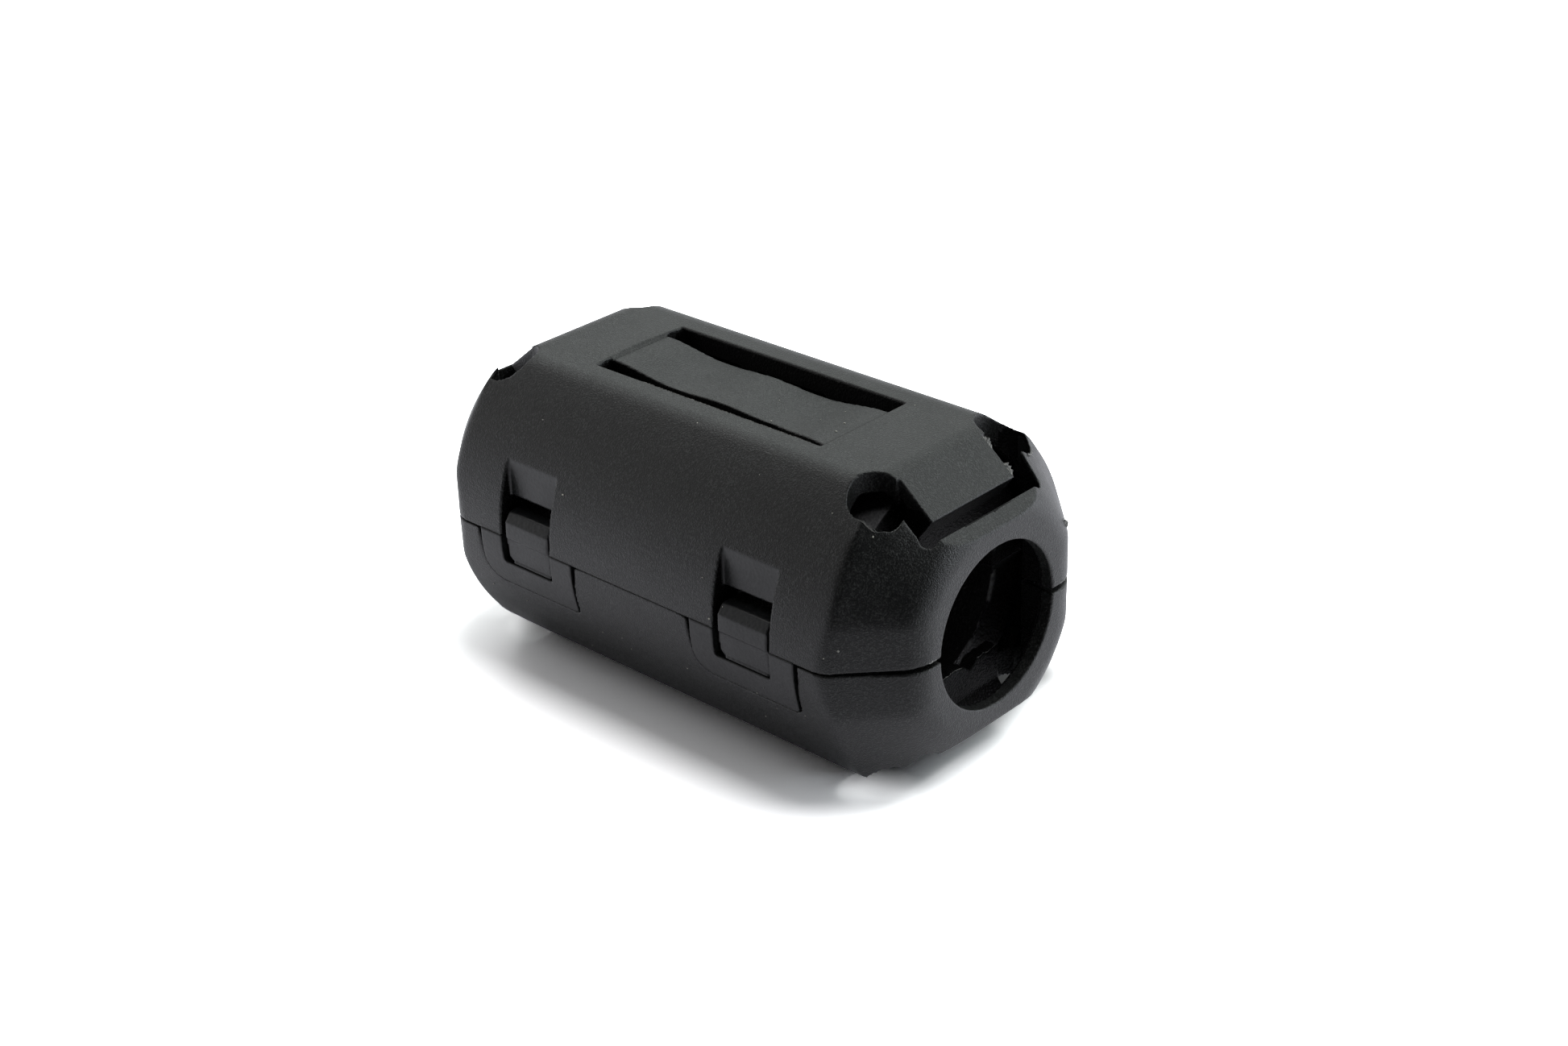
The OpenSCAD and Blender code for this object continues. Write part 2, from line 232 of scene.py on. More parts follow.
# Each card's name, middle and size in metres, colour and level
CARDS = [
    ("front_card", (0.38, -0.46, 0.32), (2.2, 1.3), WHITE, 0.01),
    ("back_card", (-0.1, 0.72, 0.62), (2.0, 0.9), COOL_WHITE, 1.12),
    ("flap_card", (0.28, 0.56, 0.6), (0.5, 0.35), COOL_WHITE, 2.0),
    ("crease_card", (-0.61, 0.14, 0.78), (0.4, 0.4), WHITE, 1.8),
    ("right_card", (0.82, 0.72, 0.18), (1.1, 0.42), COLD_WHITE, 3.2),
    ("left_card", (-0.95, -0.35, 0.25), (0.7, 0.4), WHITE, 1.0),
]
LAMP_FROM = (0.25, 0.3, 1.0)
LAMP_STRENGTH = 1.6
LAMP_ANGLE = 44


def make_world():
    """White where the camera looks past the object, and dimmer as a light."""
    world = bpy.data.worlds.new("studio_air")
    world.use_nodes = True
    bpy.context.scene.world = world
    tree = world.node_tree
    background = tree.nodes["Background"]
    background.inputs["Color"].default_value = WHITE
    path = tree.nodes.new("ShaderNodeLightPath")
    seen = maths(tree, "MAXIMUM", path.outputs["Is Camera Ray"], path.outputs["Is Transmission Ray"])
    level = ramp(tree, path.outputs["Is Glossy Ray"], 0, 1, AIR_LEVEL, AIR_GLOSS, "LINEAR")
    tree.links.new(maths(tree, "MAXIMUM", seen, level), background.inputs["Strength"])


def past_painted_shadow(tree, parts):
    """0 on the floor under the object, where a shadow is painted, and 1 past its soft edge."""
    outside = []
    for axis, middle, half in PAINTED_SHADOW_AREA:
        offset = maths(tree, "SUBTRACT", parts.outputs[axis], middle * MM)
        past = maths(tree, "SUBTRACT", maths(tree, "ABSOLUTE", offset), half * MM)
        outside.append(maths(tree, "POWER", maths(tree, "MAXIMUM", past, 0.0), 2.0))
    reach = maths(tree, "SQRT", maths(tree, "ADD", outside[0], outside[1]))
    return ramp(tree, reach, 0, PAINTED_SHADOW_EDGE * MM)


def painted_floor_reflection(tree, parts):
    """The floor's colour in the object's gloss: a painted reflection, brighter than the floor's own tone,
    and painted darker far along one way.
    """
    to_right = maths(tree, "MULTIPLY", parts.outputs["X"], DARKENING_X)
    to_front = maths(tree, "MULTIPLY", parts.outputs["Y"], DARKENING_Y)
    along = maths(tree, "ADD", to_right, to_front)
    share = ramp(tree, along, DARKENING_START * MM, DARKENING_END * MM)
    return mix_colour(tree, share, FLOOR_IN_GLOSS, FLOOR_SHADE_IN_GLOSS)


def make_floor():
    """White floor. Seen directly it is lifted to pure white, except right under the object, where a shadow
    is painted.
    """
    deselect()
    bpy.ops.mesh.primitive_plane_add(size=FLOOR_SIZE, location=(0, 0, 0))
    floor = bpy.context.object
    floor.name = "floor"
    material, tree, shader, place = material_nodes("floor_white")
    tree.nodes.remove(shader)
    parts = tree.nodes.new("ShaderNodeSeparateXYZ")
    tree.links.new(place, parts.inputs[0])
    path = tree.nodes.new("ShaderNodeLightPath")
    direct = maths(tree, "MAXIMUM", path.outputs["Is Camera Ray"], path.outputs["Is Transmission Ray"])
    # Painted shadow: seen directly, the floor is dark under the object and lifted to white past it
    seen = mix_colour(tree, past_painted_shadow(tree, parts), FLOOR_PAINTED_SHADOW, FLOOR_SEEN)
    lit = mix_colour(tree, path.outputs["Is Glossy Ray"], FLOOR_TONE, painted_floor_reflection(tree, parts))
    diffuse = tree.nodes.new("ShaderNodeBsdfDiffuse")
    tree.links.new(mix_colour(tree, direct, lit, seen), diffuse.inputs["Color"])
    tree.links.new(diffuse.outputs[0], tree.nodes["Material Output"].inputs["Surface"])
    floor.data.materials.append(material)


def make_card(name, middle, size, colour, level):
    """A card that only shows in the object's gloss, and lights it or keeps light from it."""
    deselect()
    bpy.ops.mesh.primitive_plane_add(size=1, location=middle)
    card = bpy.context.object
    card.name = name
    card.scale = (size[0], size[1], 1)
    card.rotation_euler = (Vector(CARD_TARGET) - Vector(middle)).to_track_quat("Z", "Y").to_euler()
    material, tree, shader, place = material_nodes(name + "_face")
    tree.nodes.remove(shader)
    glow = tree.nodes.new("ShaderNodeEmission")
    glow.inputs["Color"].default_value = colour
    glow.inputs["Strength"].default_value = level
    tree.links.new(glow.outputs[0], tree.nodes["Material Output"].inputs["Surface"])
    card.data.materials.append(material)
    card.visible_camera = False
    card.visible_shadow = False


def make_lamp(name, at, strength, angle):
    deselect()
    bpy.ops.object.light_add(type="SUN", location=at)
    lamp = bpy.context.object
    lamp.name = name
    lamp.data.energy = strength
    lamp.data.angle = math.radians(angle)
    lamp.visible_glossy = False
    lamp.rotation_euler = (-Vector(at)).to_track_quat("-Z", "Y").to_euler()


bpy.context.scene.view_settings.view_transform = "Standard"
make_world()
make_floor()
for card_values in CARDS:
    make_card(*card_values)
make_lamp("top_lamp", LAMP_FROM, LAMP_STRENGTH, LAMP_ANGLE)

# --- shared surface effects ---------------------------------------------------------------------


def new_group(name, inputs, outputs):
    """A node group with these sockets, given as (name, type, default), and its two end nodes."""
    group = bpy.data.node_groups.new(name, "ShaderNodeTree")
    for socket_name, kind, value in inputs:
        socket = group.interface.new_socket(socket_name, in_out="INPUT", socket_type=kind)
        if value is not None:
            socket.default_value = value
    for socket_name, kind in outputs:
        group.interface.new_socket(socket_name, in_out="OUTPUT", socket_type=kind)
    return group, group.nodes.new("NodeGroupInput").outputs, group.nodes.new("NodeGroupOutput").inputs


# The coarse grain's cells as a share of the fine ones, and the heights that the light tips span
COARSE_SHARE = 0.45
TIPS_FROM = 0.9
TIPS_FULL = 1.4
# The specks' radii as shares of a cell
SPECK_SMALL = 0.018
SPECK_LARGE = 0.05


def make_grain():
    """Fine spark-eroded grain: its normal, and a mask of its light tips."""
    group, given, result = new_group(
        "spark_eroded_grain",
        (("Place", "NodeSocketVector", None), ("Cells per metre", "NodeSocketFloat", 9000.0),
         ("Depth", "NodeSocketFloat", 0.00004)),
        (("Normal", "NodeSocketVector"), ("Tips", "NodeSocketFloat")))
    pits = group.nodes.new("ShaderNodeTexVoronoi")
    pits.feature = "SMOOTH_F1"
    pits.inputs["Smoothness"].default_value = 0.4
    cloud = group.nodes.new("ShaderNodeTexNoise")
    cloud.inputs["Detail"].default_value = 3
    cloud.inputs["Roughness"].default_value = 0.65
    coarse = maths(group, "MULTIPLY", given["Cells per metre"], COARSE_SHARE)
    for texture, scale in ((pits, given["Cells per metre"]), (cloud, coarse)):
        group.links.new(given["Place"], texture.inputs["Vector"])
        group.links.new(scale, texture.inputs["Scale"])
    height = maths(group, "ADD", pits.outputs["Distance"], cloud.outputs["Fac"])
    bump = group.nodes.new("ShaderNodeBump")
    bump.inputs["Strength"].default_value = 1.0
    group.links.new(given["Depth"], bump.inputs["Distance"])
    group.links.new(height, bump.inputs["Height"])
    group.links.new(bump.outputs["Normal"], result["Normal"])
    group.links.new(ramp(group, height, TIPS_FROM, TIPS_FULL), result["Tips"])
    return group


def make_dust():
    """Sparse specks of dust and crumbs of flash: a mask."""
    group, given, result = new_group(
        "dust_specks",
        (("Place", "NodeSocketVector", None), ("Cells per metre", "NodeSocketFloat", 900.0),
         ("Share", "NodeSocketFloat", 0.1)),
        (("Mask", "NodeSocketFloat"),))
    cells = group.nodes.new("ShaderNodeTexVoronoi")
    group.links.new(given["Place"], cells.inputs["Vector"])
    group.links.new(given["Cells per metre"], cells.inputs["Scale"])
    lot = group.nodes.new("ShaderNodeSeparateColor")
    group.links.new(cells.outputs["Color"], lot.inputs[0])
    chosen = maths(group, "LESS_THAN", lot.outputs[0], given["Share"])
    size = ramp(group, lot.outputs[1], 0, 1, SPECK_SMALL, SPECK_LARGE, "LINEAR")
    spot = maths(group, "LESS_THAN", cells.outputs["Distance"], size)
    group.links.new(maths(group, "MULTIPLY", spot, chosen), result["Mask"])
    return group


GRAIN = make_grain()
DUST = make_dust()


def use_group(tree, group, place, **values):
    """A group node in tree, with place linked and values set by their sockets' names."""
    node = tree.nodes.new("ShaderNodeGroup")
    node.node_tree = group
    tree.links.new(place, node.inputs["Place"])
    for name, value in values.items():
        node.inputs[name.replace("_", " ")].default_value = value
    return node.outputs


# --- finishes -----------------------------------------------------------------------------------
CASE_TONE = (0.0040, 0.0043, 0.0042, 1)
CASE_TIP_TONE = (0.034, 0.036, 0.035, 1)
SMOOTH_TONE = (0.008, 0.0085, 0.0092, 1)
SMOOTH_TIP_TONE = (0.014, 0.0148, 0.0155, 1)
# Painted shade: the near black tones of faces in recesses, slots and the cable way
PAINTED_SHADE_TONE = (0.002, 0.002, 0.002, 1)
PAINTED_SHADE_TIP_TONE = (0.005, 0.005, 0.005, 1)
DUST_TONE = (0.5, 0.49, 0.43, 1)
FLASH_TONE = (0.03, 0.031, 0.03, 1)
FLASH_PALE_TONE = (0.2, 0.2, 0.19, 1)
FERRITE_TONE = (0.09, 0.09, 0.093, 1)
# The bore tone is painted shade in the ferrite's bore and on its ends; the tip tone also paints a highlight
# on its ends along the bore
PAINTED_BORE_SHADE_TONE = (0.006, 0.006, 0.006, 1)
FERRITE_TIP_AND_HIGHLIGHT_TONE = (0.14, 0.14, 0.145, 1)
# Cloudiness of the nylon: its scale, the span of the noise it takes, and how far the roughness sways
CLOUD_SCALE = 420
CLOUD_SPAN = (0.3, 0.7)
FEWEST_TIPS = 0.55
SMOOTHER = 0.03
ROUGHER = 0.04
FERRITE_CELLS = 6000.0
FERRITE_DEPTH = 0.00003
FERRITE_ROUGH = 0.5
RIM_NOISE_SCALE = 700
RIM_NOISE_SPAN = (0.5, 0.6)
PALE_SCALE = 9000
PALE_SPAN = (0.35, 0.65)
PALE_ROUGH = 0.4
# The ferrite's bore and ends, painted dark as shade, fade into its skin over these distances, and the
# painted highlight on its ends lies this far past the bore
BORE_BLEND = 0.4
END_BLEND = 0.1
RIM_HIGHLIGHT_FROM = 0.1
RIM_HIGHLIGHT_TO = 0.5


def nylon(name, tone, tip_tone, rough, cells, depth, dust_share, specular=0.5):
    """Moulded black nylon with a grain, faint cloudiness and a little dust."""
    material, tree, shader, place = material_nodes(name)
    grain = use_group(tree, GRAIN, place, Cells_per_metre=cells, Depth=depth)
    cloud = tree.nodes.new("ShaderNodeTexNoise")
    cloud.inputs["Scale"].default_value = CLOUD_SCALE
    cloud.inputs["Detail"].default_value = 4
    tree.links.new(place, cloud.inputs["Vector"])
    tip_share = ramp(tree, cloud.outputs["Fac"], *CLOUD_SPAN, FEWEST_TIPS, 1.0)
    tips = maths(tree, "MULTIPLY", grain["Tips"], tip_share)
    surface = mix_colour(tree, tips, tone, tip_tone)
    dust = use_group(tree, DUST, place, Share=dust_share)
    tree.links.new(mix_colour(tree, dust["Mask"], surface, DUST_TONE), shader.inputs["Base Color"])
    uneven = ramp(tree, cloud.outputs["Fac"], *CLOUD_SPAN, rough - SMOOTHER, rough + ROUGHER)
    tree.links.new(uneven, shader.inputs["Roughness"])
    shader.inputs["Specular IOR Level"].default_value = specular
    tree.links.new(grain["Normal"], shader.inputs["Normal"])
    return material


def ferrite():
    """Pressed and fired ferrite: matt dark grey with fine pores. Its bore and ends are painted near black
    as shade, with a ragged painted highlight on the ends along the bore.
    """
    material, tree, shader, place = material_nodes("ferrite")
    grain = use_group(tree, GRAIN, place, Cells_per_metre=FERRITE_CELLS, Depth=FERRITE_DEPTH)
    parts = tree.nodes.new("ShaderNodeSeparateXYZ")
    tree.links.new(place, parts.inputs[0])
    across = maths(tree, "POWER", parts.outputs["Y"], 2.0)
    above = maths(tree, "POWER", maths(tree, "SUBTRACT", parts.outputs["Z"], AXIS_Z * MM), 2.0)
    radius = maths(tree, "SQRT", maths(tree, "ADD", across, above))
    skin_share = ramp(tree, radius, BORE_R * MM, (BORE_R + BORE_BLEND) * MM)
    along = maths(tree, "ABSOLUTE", parts.outputs["X"])
    end = ramp(tree, along, (CORE_END_X - END_BLEND) * MM, CORE_END_X * MM, 1.0, 0.0)
    outside = maths(tree, "MULTIPLY", skin_share, end)
    rim_noise = tree.nodes.new("ShaderNodeTexNoise")
    rim_noise.inputs["Scale"].default_value = RIM_NOISE_SCALE
    rim_noise.inputs["Detail"].default_value = 3
    tree.links.new(place, rim_noise.inputs["Vector"])
    # Painted highlight: a ragged pale rim on the ferrite's ends along the bore, broken up by noise
    rim_share = ramp(tree, radius, (BORE_R + RIM_HIGHLIGHT_FROM) * MM, (BORE_R + RIM_HIGHLIGHT_TO) * MM, 1.0, 0.0)
    rim_highlight = maths(tree, "MULTIPLY", rim_share, ramp(tree, rim_noise.outputs["Fac"], *RIM_NOISE_SPAN))
    rim_highlight = maths(tree, "MULTIPLY", rim_highlight, maths(tree, "SUBTRACT", 1.0, end))
    skin = mix_colour(tree, grain["Tips"], FERRITE_TONE, FERRITE_TIP_AND_HIGHLIGHT_TONE)
    # Painted shade: the bore and the ends near black
    whole = mix_colour(tree, outside, PAINTED_BORE_SHADE_TONE, skin)
    tree.links.new(mix_colour(tree, rim_highlight, whole, FERRITE_TIP_AND_HIGHLIGHT_TONE), shader.inputs["Base Color"])
    shader.inputs["Roughness"].default_value = FERRITE_ROUGH
    tree.links.new(grain["Normal"], shader.inputs["Normal"])
    return material


def pale_finish(name, tone, pale_tone):
    """Stretched nylon of flash and crumbs, paler than the case."""
    material, tree, shader, place = material_nodes(name)
    cloud = tree.nodes.new("ShaderNodeTexNoise")
    cloud.inputs["Scale"].default_value = PALE_SCALE
    tree.links.new(place, cloud.inputs["Vector"])
    pale = ramp(tree, cloud.outputs["Fac"], *PALE_SPAN)
    tree.links.new(mix_colour(tree, pale, tone, pale_tone), shader.inputs["Base Color"])
    shader.inputs["Roughness"].default_value = PALE_ROUGH
    return material


case_finish = nylon("case_nylon", CASE_TONE, CASE_TIP_TONE,
                    rough=0.36, cells=14000.0, depth=0.00002, dust_share=0.2)
smooth_finish = nylon("smooth_nylon", SMOOTH_TONE, SMOOTH_TIP_TONE,
                      rough=0.38, cells=5000.0, depth=0.000008, dust_share=0.12)
# Painted shade: a near black, less glossy nylon for the faces that are closed in
painted_shade_finish = nylon("nylon_painted_shade", PAINTED_SHADE_TONE, PAINTED_SHADE_TIP_TONE,
                    rough=0.5, cells=9000.0, depth=0.00004, dust_share=0.03, specular=0.15)
ferrite_finish = ferrite()
flash = pale_finish("pale_flash", FLASH_TONE, FLASH_PALE_TONE)
crumb_finish = pale_finish("pale_crumbs", FLASH_PALE_TONE, DUST_TONE)

# --- case pieces --------------------------------------------------------------------------------
# Passes of smoothing that round the end cones' creases
CONE_PASSES = 90
# Distances between which that rounding sets in, from the ends, the middle plane, the seam and the openings
CONE_STARTS = 5.8
CONE_FULL = 4.8
SIDE_STARTS = 4.5
SIDE_FULL = 5.5
SEAM_SHARP = 0.5
SEAM_SOFT = 1.1
RIM_SHARP = 0.5
RIM_SOFT = 1.2
# The cusp between a corner opening and the latch side is worn up to these distances
CUSP_WORN = 0.35
CUSP_SHARP = 0.95
LEAST_WEIGHT = 0.01
# Points closer than this are merged
MERGE = 0.001
FLAT_FACES_FIRST = 50
# A face that meets its own piece within this distance lies in a recess, and gets painted shade
DEEP_REACH = 10
CLEAR_OF_FACE = 0.1
WAYS_MET = 3
# The cable way, and the end walls' outer skin that isn't part of it
CABLE_WAY_R = 6.6
END_SKIN = 0.7
# The upper corner openings past this, on the -X end, keep the case finish without painted shade
CORNER_IN_SIGHT = 12
CORNER_ABOVE = 5
# Faces this close to the parting plane, and level with it, keep the case finish without painted shade
PARTING_NEAR = 0.3
LEVEL = 0.9


def cone_softness(point):
    """How far the end cones' creases are rounded, 0 to 1: 0 at the openings' and the seam's edges."""
    end = smooth_step(HALF_LENGTH - CONE_STARTS, HALF_LENGTH - CONE_FULL, abs(point.x))
    side = smooth_step(SIDE_STARTS, SIDE_FULL, abs(point.y))
    seam = smooth_step(SEAM_SHARP, SEAM_SOFT, abs(point.z - AXIS_Z))
    to_corner = math.hypot(abs(point.x) - HALF_LENGTH + CORNER_IN, abs(point.y) - CORNER_Y)
    corner = smooth_step(CORNER_R + RIM_SHARP, CORNER_R + RIM_SOFT, to_corner)
    to_hole = math.hypot(point.y, point.z - AXIS_Z)
    hole = smooth_step(HOLE_R + RIM_SHARP, HOLE_R + RIM_SOFT, to_hole)
    to_cusp = math.hypot(abs(point.x) - HALF_LENGTH + CORNER_IN - CORNER_R, point.y + CORNER_Y)
    cusp = 1 - smooth_step(CUSP_WORN, CUSP_SHARP, to_cusp)
    return max(end * side * seam * corner * hole, cusp)


def round_cones(piece):
    """The creases of the end cones smoothed by their weights."""
    weights = piece.vertex_groups.new(name="cones")
    for vertex in piece.data.vertices:
        weight = cone_softness(vertex.co / MM)
        if weight > LEAST_WEIGHT:
            weights.add([vertex.index], weight, "REPLACE")
    rounding = piece.modifiers.new("round_cones", "SMOOTH")
    rounding.factor = 0.5
    rounding.iterations = CONE_PASSES
    rounding.vertex_group = weights.name
    apply_modifiers(piece)
    piece.vertex_groups.clear()


def solid_copy(node, name, finish):
    """A merged copy of a solid, with one finish."""
    deselect()
    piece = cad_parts[node].copy()
    piece.data = piece.data.copy()
    piece.parent = None
    piece.name = name
    piece.data.name = name
    for key in list(piece.keys()):
        del piece[key]
    bpy.context.scene.collection.objects.link(piece)
    choose(piece)
    piece.data.materials.clear()
    piece.data.materials.append(finish)
    bpy.ops.mesh.customdata_custom_splitnormals_clear()
    bpy.ops.object.mode_set(mode="EDIT")
    bpy.ops.mesh.select_all(action="SELECT")
    bpy.ops.mesh.remove_doubles(threshold=MERGE * MM)
    bpy.ops.object.mode_set(mode="OBJECT")
    return piece


def one_skin(piece, cell):
    """The piece remeshed in cells of this size, in mm."""
    skin = piece.modifiers.new("one_skin", "REMESH")
    skin.mode = "VOXEL"
    skin.voxel_size = cell * MM
    skin.adaptivity = 0
    apply_modifiers(piece)


def thin_out(piece, most):
    """The piece with this many triangles at most."""
    count = sum(len(face.vertices) - 2 for face in piece.data.polygons)
    if count > most:
        fewer = piece.modifiers.new("fewer_faces", "DECIMATE")
        fewer.ratio = most / count
        apply_modifiers(piece)


def moulded(node, name, finish, cell, most, shape=None):
    """A copy of a solid with every edge softened as in a mould, in the solid's place."""
    piece = solid_copy(node, name, finish)
    one_skin(piece, cell)
    if shape is not None:
        for vertex in piece.data.vertices:
            vertex.co = shape(vertex.co / MM) * MM
        round_cones(piece)
    soft = piece.modifiers.new("soft_edges", "SMOOTH")
    soft.factor = 0.5
    soft.iterations = 1
    apply_modifiers(piece)
    thin_out(piece, most)
    even = piece.modifiers.new("even_shading", "WEIGHTED_NORMAL")
    even.weight = FLAT_FACES_FIRST
    bpy.ops.object.shade_smooth()
    apply_modifiers(piece)
    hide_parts(node)
    return piece


def smooth_faces(piece, chosen):
    """The faces that chosen(centre in mm) picks get the smooth finish."""
    piece.data.materials.append(smooth_finish)
    for face in piece.data.polygons:
        if chosen(face.center / MM):
            face.material_index = 1


def closed_in(piece, centre, normal):
    """Whether a face gets painted shade: it lies in the cable way, or most ways out from it meet its own
    piece.
    """
    above_axis = centre.z - AXIS_Z * MM
    if abs(normal.z) > LEVEL and abs(above_axis) < PARTING_NEAR * MM:
        return False
    between_skins = abs(centre.x) < (HALF_LENGTH - END_SKIN) * MM
    if between_skins and math.hypot(centre.y, above_axis) < CABLE_WAY_R * MM:
        return True
    if centre.x < -CORNER_IN_SIGHT * MM and centre.z > (AXIS_Z + CORNER_ABOVE) * MM:
        return False
    start = centre + normal * CLEAR_OF_FACE * MM
    side = normal.orthogonal().normalized()
    other = normal.cross(side)
    if piece.ray_cast(start, normal, distance=DEEP_REACH * MM)[0]:
        return True
    ways = [normal + side, normal - side, normal + other, normal - other]
    met = sum(piece.ray_cast(start, way.normalized(), distance=DEEP_REACH * MM)[0] for way in ways)
    return met >= WAYS_MET


def paint_recess_shade(piece):
    """The faces that are closed in get painted shade: a near black, less glossy finish."""
    slot_index = len(piece.data.materials)
    piece.data.materials.append(painted_shade_finish)
    for face in piece.data.polygons:
        if closed_in(piece, face.center, face.normal):
            face.material_index = slot_index


# The lower grip lip in the +X cable hole has a torn edge with a notch
LIP_TIP_Z = AXIS_Z - 3.65
LIP_BACK_X = 13.8
LIP_FRONT_X = 15.1
LIP_HALF = 3.6
# The tear grows from nothing to all between these distances below the lip's edge
TEAR_STARTS = 1.1
TEAR_FULL = 0.1
NOTCH_Y = 1.0
NOTCH_HALF = 0.55
NOTCH_DEPTH = 0.55
# The slow wave's and the fine tears' turns per mm and depths
WAVE_TURNS = 1.3
WAVE_DEPTH = 0.16
WAVE_LIFT = 0.4
TEAR_TURNS_Y = 7
TEAR_TURNS_X = 3
TEAR_DEPTH = 0.07
# The step across each catch, which stands a little to the right of its latch
LATCH_SIDE_Y = -8.3
CATCH_SHIFT = 0.1
CATCH_HALF = 1.75
CATCH_DROP = 1.5
CATCH_STEP = 0.11
# The seam that closes tighter between the latches
SEAM_BAND_LOW = 0.4
SEAM_BAND_HIGH = 0.1
SEAM_TOP = 0.05
SEAM_HALF = 4.5
SEAM_LIFT = 0.09
# The scored line across each end of the window's leaf
LEAF_LINE_HALF = 0.06
LEAF_LINE_DEPTH = 0.09
LEAF_ABOVE = 8
# The catches' smooth faces, and the smooth faces of the recesses over them
CATCH_FACE_HALF = 1.8
CATCH_FACE_DROP = 1.55
RECESS_HALF = 2.02
RECESS_FRONT_Y = -8.95
RECESS_BACK_Y = -7
RECESS_LOW = 1.9
RECESS_HIGH = 4.52


def torn_lip(point):
    """The lip's free edge pulled down by a notch, a slow wave and fine tears."""
    beyond = point.x < LIP_BACK_X or point.x > LIP_FRONT_X or abs(point.y) > LIP_HALF
    if beyond or point.z > AXIS_Z:
        return point
    share = smooth_step(LIP_TIP_Z - TEAR_STARTS, LIP_TIP_Z - TEAR_FULL, point.z)
    notch = max(0, 1 - abs(point.y - NOTCH_Y) / NOTCH_HALF)
    wave = noise.noise(Vector((point.y * WAVE_TURNS, 0.3, 0))) + WAVE_LIFT
    tears = noise.noise(Vector((point.y * TEAR_TURNS_Y, point.x * TEAR_TURNS_X, 2)))
    tear = NOTCH_DEPTH * notch + WAVE_DEPTH * wave + TEAR_DEPTH * tears
    return point - Vector((0, 0, share * tear))


def lower_shape(point):
    """The lower shell's small forms: a torn lip, a step on each catch, a tight seam between the latches."""
    point = torn_lip(point)
    if point.y > LATCH_SIDE_Y:
        return point
    beside_catch = any(abs(point.x - x - CATCH_SHIFT) < CATCH_HALF for x in LATCH_XS)
    if beside_catch and AXIS_Z - CATCH_DROP < point.z < AXIS_Z:
        return point + Vector((0, CATCH_STEP, 0))
    near_seam = smooth_step(AXIS_Z - SEAM_BAND_LOW, AXIS_Z - SEAM_BAND_HIGH, point.z)
    if point.z >= AXIS_Z + SEAM_TOP:
        near_seam = 0
    between = 1 - smooth_step(SEAM_HALF - 1, SEAM_HALF, abs(point.x))
    return point + Vector((0, 0, SEAM_LIFT * near_seam * between))


def upper_shape(point):
    """The upper shell's scored line across each end of the window's leaf."""
    on_line = abs(abs(point.x) - WINDOW_HALF_X) < LEAF_LINE_HALF and abs(point.y) < WINDOW_HALF_Y
    if on_line and point.z > AXIS_Z + LEAF_ABOVE:
        return point - Vector((0, 0, LEAF_LINE_DEPTH))
    return point


def catch_face(centre):
    """Whether a face, by its centre in mm, is one of a catch's."""
    beside_catch = any(abs(centre.x - x - CATCH_SHIFT) < CATCH_FACE_HALF for x in LATCH_XS)
    return beside_catch and centre.y < LATCH_SIDE_Y and centre.z > AXIS_Z - CATCH_FACE_DROP


def recess_face(centre):
    """Whether a face, by its centre in mm, lies in a recess over a catch."""
    beside_catch = any(abs(centre.x - x) < RECESS_HALF for x in LATCH_XS)
    level = AXIS_Z + RECESS_LOW < centre.z < AXIS_Z + RECESS_HIGH
    return beside_catch and level and RECESS_FRONT_Y < centre.y < RECESS_BACK_Y


lower_case = moulded("lower_shell", "lower_case", case_finish, CASE_CELL, CASE_FACES, lower_shape)
smooth_faces(lower_case, catch_face)
paint_recess_shade(lower_case)
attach(lower_case, "lower_half")
upper_case = moulded("upper_shell", "upper_case", case_finish, CASE_CELL, CASE_FACES, upper_shape)
smooth_faces(upper_case, recess_face)
paint_recess_shade(upper_case)
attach(upper_case, "upper_half")
latches = []
for side in ("left", "right"):
    latch = moulded("latch_loop_" + side, side + "_latch", smooth_finish, LATCH_CELL, LATCH_FACES)
    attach(latch, "upper_half")
    latches.append(latch)

# --- hinge straps -------------------------------------------------------------------------------
for side, x in zip(("left", "right"), STRAP_XS):
    strap = moulded("hinge_strap_" + side, side + "_strap", smooth_finish, STRAP_CELL, STRAP_FACES)
    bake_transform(strap)

# --- ferrite ------------------------------------------------------------------------------------
for node_name in ("lower_core", "upper_core"):
    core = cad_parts[node_name]
    core.data.materials.clear()
    core.data.materials.append(ferrite_finish)

# --- flash and crumbs ---------------------------------------------------------------------------
FLASH_SEED = 7
CRUMB_SEED = 11
# The openings and edges that the flash hangs on
CORNER_X = HALF_LENGTH - CORNER_IN
RIM_CLEAR = 0.1
HOLE_EDGE = HOLE_R + RIM_CLEAR
SEAM_CLEAR = 0.25
FLAP_ROOT_X = HALF_LENGTH - SLOPE_X
FLAP_TIP_X = HALF_LENGTH - END_WALL - FLAP_SLOT
FLAP_EDGE_Y = FLAP_HALF - 0.05
SLOPE_LEAN = SLOPE_Z / math.hypot(SLOPE_X, SLOPE_Z)
LIP_X = FLAP_TIP_X - FLAP_END_T * SLOPE_LEAN - 0.1
NOTCH_CLEAR = 0.6
CONE_EDGE_X = HALF_LENGTH - 0.5
WINDOW_EDGE_Y = -WINDOW_HALF_Y - 0.05
# A ray starts this far out, and the rays of a fin start this far apart
FAR_OUT = 30
FIN_STEP = 0.06
LEAST_STEPS = 3
LEAST_RUN = 4
# A fin is sunk this deep at its root, and rises from each end by these shares of its height
FIN_SUNK = 0.04
FIN_END = 0.2
FIN_RISE = 0.4
FIN_LOWEST = 0.35
